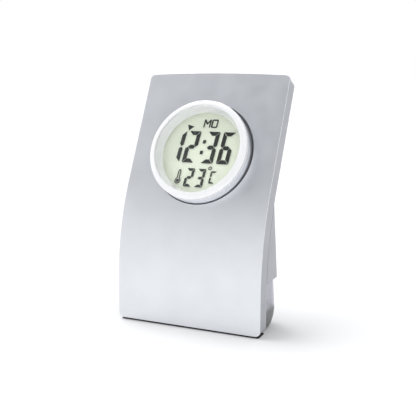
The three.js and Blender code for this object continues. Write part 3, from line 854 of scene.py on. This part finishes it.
def segment_outlines(width, height, stroke, cut):
    """The seven bars of a figure, by their usual letters, in a box with its corner at 0, 0."""
    half = height / 2
    top = [
        (cut, height),
        (width - cut, height),
        (width - stroke - cut, height - stroke),
        (stroke + cut, height - stroke),
    ]
    left = [
        (0, height - cut),
        (stroke, height - stroke - cut),
        (stroke, half + stroke / 2 + cut * 0.4),
        (stroke / 2, half + cut * 0.7),
        (0, half + stroke / 2),
    ]
    middle = [
        (stroke / 2 + cut, half),
        (stroke + cut, half + stroke / 2),
        (width - stroke - cut, half + stroke / 2),
        (width - stroke / 2 - cut, half),
        (width - stroke - cut, half - stroke / 2),
        (stroke + cut, half - stroke / 2),
    ]

    def across(points):
        return [(width - x, y) for x, y in points]

    def down(points):
        return [(x, height - y) for x, y in points]

    return {
        "a": top,
        "d": down(top),
        "f": left,
        "b": across(left),
        "e": down(left),
        "c": across(down(left)),
        "g": middle,
    }


def figure(letter, x, y, width, height, stroke, cut):
    bars = segment_outlines(width, height, stroke, cut)
    return [[(x + px, y + py) for px, py in bars[key]] for key in LIT[letter]]


def bar(start, end, stroke):
    """A straight bar between two points."""
    a, b = Vector(start), Vector(end)
    side = (b - a).normalized().orthogonal() * stroke / 2
    return [tuple(p) for p in (a - side, b - side, b + side, a + side)]


def bars_through(points, stroke):
    return [bar(a, b, stroke) for a, b in zip(points, points[1:])]


def big_figures():
    """The hours and minutes, with the colon's two dots."""
    size = dict(width=7.1, height=18.3, stroke=2.3, cut=0.2)
    bottom = -7
    dot_half_width, dot_half_height, dot_corner = 0.85, 1, 0.05
    marks = []
    for letter, x in (("1", -18.9), ("2", -10.2), ("3", 1.2), ("6", 10.4)):
        marks += figure(letter, x, bottom, **size)
    for x, y in ((0.2, 5.3), (0.1, -0.9)):
        marks.append(rounded_box(x, y, dot_half_width, dot_half_height, dot_corner, steps=1))
    return marks


def small_figures():
    """The temperature and its unit."""
    size = dict(width=4.8, height=10.5, stroke=1.5, cut=0.16)
    bottom, unit_bottom = -20.7, -18.2
    marks = figure("2", -5.6, bottom, **size)
    marks += figure("3", 1.1, bottom, **size)
    marks += figure("C", 8.9, unit_bottom, width=3.3, height=7, stroke=0.9, cut=0.12)
    return marks


def day_letters():
    stroke = 0.75
    letter_m = [(-2.6, 13.7), (-2.6, 18.3), (-0.9, 15.6), (0.8, 18.3), (0.8, 13.7)]
    letter_o = [(2, 13.9), (2, 18.1), (5, 18.1), (5, 13.9), (2, 13.9)]
    return bars_through(letter_m, stroke) + bars_through(letter_o, stroke)


def temperature_marks():
    """A thermometer with a filled bulb, and the degree sign."""
    bulb, bulb_radius, fill_radius, stroke = (-9.6, -17.6), 1.5, 0.9, 0.55
    outline = arc(*bulb, bulb_radius, 115, 425, 14)
    stem = [outline[-1], (-8.95, -12), (-9.6, -11.2), (-10.25, -12), outline[0]]
    degree, degree_stroke = circle(7.8, -9.6, 0.85, 12), 0.45
    marks = [circle(*bulb, fill_radius, 16)]
    marks += bars_through(outline, stroke)
    marks += bars_through(stem, stroke)
    marks += bars_through(degree + degree[:1], degree_stroke)
    return marks


POINTER = [(-12.4, 15), (-8.4, 14), (-11, 11.6)]


def display_marks():
    """All the lit marks as thin raised shapes, leaning a little as such figures do."""
    marks = []
    outlines = big_figures() + small_figures() + day_letters() + temperature_marks()
    for outline in [*outlines, POINTER]:
        placed = [((x + SLANT * y) * MM + MARK_SHIFT.x, y * MM + MARK_SHIFT.y) for x, y in outline]
        marks.append(prism(placed, MARK_BOTTOM, MARK_TOP, DISPLAY))
    piece_from("display_figures", joined(marks), "lcd", look=display_ink(), crisp=True)


# -------- buttons


def buttons():
    """Caps with a dished top, a flange that holds them in and a hollow for the dome."""
    top = BODY_THICKNESS + BUTTON_STAND
    dish_bottom = top - 0.3 * MM
    flange_top = COVER_FRONT - GAP
    flange_bottom = flange_top - 0.7 * MM
    hollow_top = flange_top - 0.05 * MM
    hollow, dish = BUTTON_RADIUS - 0.1 * MM, BUTTON_RADIUS - 0.9 * MM
    flange = BUTTON_RADIUS + 0.9 * MM
    outline = soften(
        [
            (0, hollow_top),
            (hollow, hollow_top),
            (hollow, flange_bottom),
            (flange, flange_bottom),
            (flange, flange_top),
            (BUTTON_RADIUS, flange_top),
            (BUTTON_RADIUS, top),
            (dish, top),
            (0, dish_bottom),
        ],
        0.45 * MM,
        closed=False,
    )
    for name, x in BUTTON_PLACES.items():
        button = f"{name}_button"
        whole = revolve(outline, facing_back(DISPLAY, x, BUTTON_RISE), 64)
        piece_from(f"{button}_cap", whole, "shell_grey", stands_for=button, body=button)


# -------- the wedge behind the foot

WEDGE_HALF = 40 * MM
WEDGE_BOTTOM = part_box("battery_case")[0].z - FOOT.z
WEDGE_DEPTH = 32.5 * MM
WEDGE_DEPTH_HEIGHT = 11 * MM
WEDGE_SLOPE = 0.145
WEDGE_ANGLE = math.atan(WEDGE_SLOPE)
HEEL = 9 * MM
WEDGE_CORNER = 6 * MM
WEDGE_FRONT = BODY_THICKNESS + GAP
CASE_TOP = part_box("battery_case")[1].z - FOOT.z
HOUSING_BOTTOM = CASE_TOP + GAP
# The smoked case stops this far short of the top of its node, for a dark line over it.
SHADOW_GAP = 0.9 * MM

HEEL_HEIGHT = WEDGE_BOTTOM + HEEL
TANGENT_HEIGHT = HEEL_HEIGHT + HEEL * math.sin(WEDGE_ANGLE)
HEEL_DEPTH = (
    WEDGE_DEPTH
    - WEDGE_SLOPE * (TANGENT_HEIGHT - WEDGE_DEPTH_HEIGHT)
    - HEEL * math.cos(WEDGE_ANGLE)
)

DOOR_HALF = 30 * MM
DOOR_BOTTOM = 5.2 * MM - FOOT.z
DOOR_TOP = 24.6 * MM - FOOT.z


def wedge_front_depth(height):
    """How deep the wedge's front, which follows the panel's back, is at a height."""
    radius = BEND_RADIUS - WEDGE_FRONT
    rise = height - BEND_START
    angle = math.asin(min(max(rise / radius, 0), math.sin(LEAN)))
    beyond = max(rise - radius * math.sin(LEAN), 0)
    return BEND_RADIUS - radius * math.cos(angle) + beyond * math.tan(LEAN)


def wedge_back_depth(height):
    """How deep the wedge's back is at a height."""
    if height >= TANGENT_HEIGHT:
        return WEDGE_DEPTH - WEDGE_SLOPE * (height - WEDGE_DEPTH_HEIGHT)
    drop = min(HEEL_HEIGHT - height, HEEL)
    return HEEL_DEPTH + math.sqrt(HEEL**2 - drop**2)


def wedge_section(height):
    """The wedge's outside at a height, from its left front edge round to its right one."""
    side_steps, corner_steps = 4, 10
    front = wedge_front_depth(height)
    back = max(wedge_back_depth(height), front)
    corner_depth = back - WEDGE_CORNER
    inner = WEDGE_HALF - WEDGE_CORNER
    start = math.asin(min(max((front - corner_depth) / WEDGE_CORNER, 0), 1))
    side_end = max(corner_depth, front)
    left = [
        (-WEDGE_HALF, front + (side_end - front) * i / side_steps) for i in range(side_steps)
    ]
    if start > 0:
        left = [(-inner - WEDGE_CORNER * math.cos(start), front)] * side_steps
    for i in range(corner_steps + 1):
        turn = start + (math.pi / 2 - start) * i / corner_steps
        x = -inner - WEDGE_CORNER * math.cos(turn)
        left.append((x, corner_depth + WEDGE_CORNER * math.sin(turn)))
    left += [(-x, back) for x in (DOOR_HALF + GAP, DOOR_HALF / 2)]
    right = [(-x, depth) for x, depth in reversed(left)]
    return [FOOT + Vector((x, depth, height)) for x, depth in left + [(0, back)] + right]


def wedge_skin(heights):
    """The wedge's outer skin, from the top down through these heights, and its rows."""
    bm = bmesh.new()
    return bm, add_rows(bm, [wedge_section(height) for height in heights], closed=False)


def thicken(name, bm, slot, stands_for):
    """Makes a piece of an outer skin, with a wall and rounded edges."""
    bmesh.ops.remove_doubles(bm, verts=bm.verts, dist=1e-6)
    bmesh.ops.dissolve_degenerate(bm, edges=bm.edges, dist=1e-6)
    piece = piece_from(name, bm, slot, stands_for=stands_for)
    wall = piece.modifiers.new("wall", "SOLIDIFY")
    wall.thickness = WALL
    wall.offset = -1
    round_edges(piece, 0.3 * MM, segments=3, angle=50)
    # The modifier that weighs the normals comes last.
    piece.modifiers.move(0, 2)


def meeting_height():
    """The height where the wedge's back meets the back cover."""
    low, high = HOUSING_BOTTOM, BEND_END + BODY_THICKNESS
    for _ in range(40):
        middle = (low + high) / 2
        if wedge_back_depth(middle) > wedge_front_depth(middle):
            low = middle
        else:
            high = middle
    return low


def rear_housing():
    top = meeting_height() - 0.2 * MM
    steps = 40
    heights = [top - (top - HOUSING_BOTTOM) * i / steps for i in range(steps + 1)]
    bm = wedge_skin(heights)[0]
    thicken("grey_rear_housing", bm, "shell_grey", "rear_housing")


def heel_heights(start, end, steps):
    """Heights down the heel's arc, evenly spaced round it."""
    first, last = (math.asin((height - HEEL_HEIGHT) / HEEL) for height in (start, end))
    angles = [first + (last - first) * i / steps for i in range(steps + 1)]
    return [HEEL_HEIGHT + HEEL * math.sin(angle) for angle in angles]


def battery_case():
    opening_top = DOOR_TOP + GAP
    opening_bottom = DOOR_BOTTOM - WALL / 2 - GAP
    steps, heel_steps, foot_steps = 6, 8, 10
    fall = opening_top - TANGENT_HEIGHT
    heights = [CASE_TOP - SHADOW_GAP]
    heights += [opening_top - fall * i / steps for i in range(steps)]
    heights += heel_heights(TANGENT_HEIGHT, opening_bottom, heel_steps)
    heights += heel_heights(opening_bottom, WEDGE_BOTTOM, foot_steps)[1:]
    bm, rows = wedge_skin(heights)
    bm.faces.new(rows[-1])
    open_faces = [
        face
        for face in bm.faces
        if abs(face.calc_center_median().x) < DOOR_HALF
        and opening_bottom < face.calc_center_median().z - FOOT.z < opening_top
    ]
    bmesh.ops.delete(bm, geom=open_faces, context="FACES")
    thicken("smoked_battery_case", bm, "smoke_plastic", "battery_case")


def on_wedge(x, along, inward):
    """The point for a place on the wedge's back: across, up along it from the heel, and in."""
    angle = WEDGE_ANGLE + min(along, 0) / HEEL
    radius = HEEL - inward
    up = max(along, 0)
    depth = HEEL_DEPTH + radius * math.cos(angle) - up * math.sin(WEDGE_ANGLE)
    height = HEEL_HEIGHT + radius * math.sin(angle) + up * math.cos(WEDGE_ANGLE)
    return FOOT + Vector((x, depth, height))


def finger_grooves(door_top):
    """The tools that cut three rounded grooves across the door, below its top."""
    radius, half_length = 0.5 * MM, 7 * MM
    first, pitch = 2.6 * MM, 1.8 * MM
    rod = [(0, -half_length), (radius, -half_length), (radius, half_length), (0, half_length)]
    outline = soften(rod, radius, closed=False)
    across = Matrix.Rotation(math.pi / 2, 4, "Y")
    places = [on_wedge(0, door_top - (first + pitch * i), 0) for i in range(3)]
    return [revolve(outline, Matrix.Translation(place) @ across, 20) for place in places]


def battery_door():
    corner, outer_edge, inner_edge = 0.9 * MM, 0.3 * MM, 0.2 * MM
    top = (DOOR_TOP - TANGENT_HEIGHT) / math.cos(WEDGE_ANGLE)
    bottom = (math.asin((DOOR_BOTTOM - HEEL_HEIGHT) / HEEL) - WEDGE_ANGLE) * HEEL
    middle, half = (top + bottom) / 2, (top - bottom) / 2
    outline = edge_rings(
        lambda inset: rounded_box(0, middle, DOOR_HALF - inset, half - inset, corner - inset),
        0,
        WALL,
        outer_edge,
        inner_edge,
    )
    steps = 10
    stations = [bottom * i / steps for i in range(steps + 1)]
    plate = carve(bend(layer([outline], stations), on_wedge), finger_grooves(top))
    door = "battery_door"
    piece_from("smoked_battery_door", plate, "smoke_plastic", stands_for=door, body=door)


# -------- cells, contacts and feet


def cell(name, stands_for, end):
    """A cell along X in two finishes. end is 1 when its button points to +X."""
    low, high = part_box(stands_for)
    centre = (low + high) / 2
    radius = (high.z - low.z) / 2
    nub_radius, nub_length, bare_end = 2 * MM, 0.9 * MM, 0.7 * MM
    half = (high.x - low.x - nub_length) / 2
    centre.x -= end * nub_length / 2
    outline = soften(
        [
            (0, -half),
            (radius, -half),
            (radius, half),
            (nub_radius, half),
            (nub_radius - 0.1 * MM, half + nub_length),
            (0, half + nub_length),
        ],
        0.5 * MM,
        closed=False,
    )
    matrix = Matrix.Translation(centre) @ Matrix.Rotation(end * math.pi / 2, 4, "Y")
    piece = piece_from(name, revolve(outline, matrix, 64), "cell_jacket", stands_for=stands_for)
    piece.data.materials.append(LOOKS["steel"])
    for face in piece.data.polygons:
        reach = abs(face.center.x - centre.x)
        face.material_index = int(reach > half - bare_end)


def contact_spring(name, stands_for, side):
    """A conical spring of round wire, widest at its contact plate."""
    low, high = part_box(stands_for)
    centre = (low + high) / 2
    wire, narrow, wide = 0.33 * MM, 1.9 * MM, 3.3 * MM
    turns, steps = 3, 90
    near, far = (low.x + wire, high.x - wire) if side > 0 else (high.x - wire, low.x + wire)
    curve = bpy.data.curves.new(name, "CURVE")
    curve.dimensions = "3D"
    curve.bevel_depth = wire
    curve.bevel_resolution = 3
    curve.use_fill_caps = True
    spline = curve.splines.new("POLY")
    spline.points.add(steps)
    for i, point in enumerate(spline.points):
        part = i / steps
        angle = 2 * math.pi * turns * part
        radius = narrow + (wide - narrow) * part
        point.co = (
            near + (far - near) * part,
            centre.y + radius * math.cos(angle),
            centre.z + radius * math.sin(angle),
            1,
        )
    curve.materials.append(LOOKS["steel"])
    piece = add_object(name, curve)
    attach(piece, "clock_body")
    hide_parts(stands_for)


def pad(name, stands_for, corner, edge):
    """A rubber pad with a round outline and a softened rim."""
    low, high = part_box(stands_for)
    middle, half = (low + high) / 2, (high - low) / 2

    def outline(inset):
        return rounded_box(middle.x, middle.y, half.x - inset, half.y - inset, corner - inset)

    rings = edge_rings(outline, low.z, high.z, edge, edge)
    piece_from(name, layer([rings]), "rubber", stands_for=stands_for)


CARRIED_NODES = {
    "black_plastic": ["lcd_holder", "clock_chip", "temperature_sensor", "battery_tray"],
    "rubber": ["zebra_strip_lower", "zebra_strip_upper"]
    + [f"{name}_button_dome" for name in BUTTON_PLACES],
    "board_green": ["main_board"],
    "ceramic_tan": ["chip_capacitor_1", "chip_capacitor_2"],
    "steel": ["watch_crystal", "bridge_contact", "positive_contact", "negative_contact"]
    + [f"board_screw_{i}" for i in range(1, 5)]
    + [f"{kind}_screw_{i}" for kind in ("housing", "case") for i in (1, 2)],
    "wire_red": ["positive_lead"],
    "wire_black": ["negative_lead"],
}


def finish_cad_nodes():
    """Gives every CAD node that still shows its slot's material and a fine edge."""
    for slot, names in CARRIED_NODES.items():
        for name in names:
            materials = nodes[name].data.materials
            materials.clear()
            materials.append(LOOKS[slot])
            round_edges(nodes[name], 0.08 * MM, segments=2, angle=40)


# -------- camera, floor and light

CAMERA_AZIMUTH = math.radians(25.1)
CAMERA_ELEVATION = math.radians(10.04)
CAMERA_DISTANCE = 436.5 * MM
CAMERA_ASIDE = 0.83 * MM
CAMERA_DROP = 5.84 * MM
CAMERA_LENS_MM = 68.06
CAMERA_SENSOR_MM = 36


def camera():
    low, high = cad_bounds
    middle = (low + high) / 2
    middle.x, middle.y = 0, 0
    flat, steep = math.cos(CAMERA_ELEVATION), math.sin(CAMERA_ELEVATION)
    back = Vector((math.sin(CAMERA_AZIMUTH) * flat, -math.cos(CAMERA_AZIMUTH) * flat, steep))
    right = Vector((math.cos(CAMERA_AZIMUTH), math.sin(CAMERA_AZIMUTH), 0))
    up = back.cross(right)
    data = bpy.data.cameras.new("camera")
    data.lens = CAMERA_LENS_MM
    data.sensor_width = CAMERA_SENSOR_MM
    data.clip_start = 10 * MM
    place = middle + back * CAMERA_DISTANCE + right * CAMERA_ASIDE - up * CAMERA_DROP
    turn = Matrix((right, up, back)).transposed().to_4x4()
    eye = add_object("camera", data)
    eye.matrix_world = Matrix.Translation(place) @ turn
    bpy.context.scene.camera = eye


def floor():
    bm = bmesh.new()
    reach = 6
    corners = [(-reach, -reach), (reach, -reach), (reach, reach), (-reach, reach)]
    bm.faces.new([bm.verts.new((x, y, 0)) for x, y in corners])
    look = Look("pale_floor", (0.93, 0.93, 0.93), 0.7)
    look.tint(80 * MM, 0.01).smudge(40 * MM, 0.03)
    mesh = mesh_from("floor", bm)
    mesh.materials.append(look.material)
    add_object("floor", mesh)


def far_light(name, direction, width, strength):
    """A broad, far-off light, its width in degrees."""
    light = bpy.data.lights.new(name, "SUN")
    light.energy = strength
    light.angle = math.radians(width)
    add_object(name, light).rotation_euler = direction.to_track_quat("Z", "Y").to_euler()


def towards(azimuth, elevation):
    """The direction at an azimuth right of the front and an elevation, in degrees."""
    turn, rise = math.radians(azimuth), math.radians(elevation)
    flat = math.cos(rise)
    return Vector((math.sin(turn) * flat, -math.cos(turn) * flat, math.sin(rise)))


# The screen's directions, and its shades at these many degrees from its middle.
SCREEN_AZIMUTH, SCREEN_ELEVATION = -12, 55
CORE_REACH, CORE_SHADE = 8, (0.22, 0.23, 0.25, 1)
EDGE_REACH, EDGE_SHADE = 31, (0.71, 0.72, 0.74, 1)
OPEN_REACH, OPEN_SHADE = 46, (0.95, 0.955, 0.96, 1)


def screen_shade(tree):
    """The colour of the surroundings, which darkens towards the middle of the screen."""
    coordinates = tree.nodes.new("ShaderNodeTexCoord")
    nearness = tree.nodes.new("ShaderNodeVectorMath")
    nearness.operation = "DOT_PRODUCT"
    nearness.inputs[1].default_value = towards(SCREEN_AZIMUTH, SCREEN_ELEVATION)
    tree.links.new(coordinates.outputs["Generated"], nearness.inputs[0])
    ramp = tree.nodes.new("ShaderNodeValToRGB")
    away, core = ramp.color_ramp.elements
    away.position, away.color = math.cos(math.radians(OPEN_REACH)), OPEN_SHADE
    core.position, core.color = math.cos(math.radians(CORE_REACH)), CORE_SHADE
    edge = ramp.color_ramp.elements.new(math.cos(math.radians(EDGE_REACH)))
    edge.color = EDGE_SHADE
    tree.links.new(nearness.outputs["Value"], ramp.inputs["Fac"])
    return ramp.outputs["Color"]


def studio():
    """A pale room with a large soft grey screen, which the panel mirrors, and a soft sun."""
    world = bpy.data.worlds.new("studio")
    bpy.context.scene.world = world
    world.use_nodes = True
    tree = world.node_tree
    seen = tree.nodes.new("ShaderNodeLightPath")
    around, shown, color = color_mix(tree, seen.outputs["Is Camera Ray"])
    shown.default_value = (1, 1, 1, 1)
    tree.links.new(screen_shade(tree), around)
    tree.links.new(color, tree.nodes["Background"].inputs["Color"])
    far_light("key", towards(-100, 65), width=40, strength=1.4)
    bpy.context.scene.view_settings.view_transform = "Standard"


# -------- the whole clock

camera()
floor()
studio()

front_panel()
tray()
back_cover()
cover_screws()
bezel_base()
bezel_ring()
dome_lens()
display_glass()
display_marks()
buttons()
rear_housing()
battery_case()
battery_door()
cell("lower_cell", "battery_lower", 1)
cell("upper_cell", "battery_upper", -1)
contact_spring("lower_spring_wire", "lower_contact_spring", -1)
contact_spring("upper_spring_wire", "upper_contact_spring", 1)
pad("front_rubber_strip", "front_foot_strip", 1 * MM, 0.15 * MM)
for i in (1, 2):
    pad(f"rear_rubber_foot_{i}", f"rear_foot_{i}", 1.5 * MM, 0.3 * MM)
finish_cad_nodes()
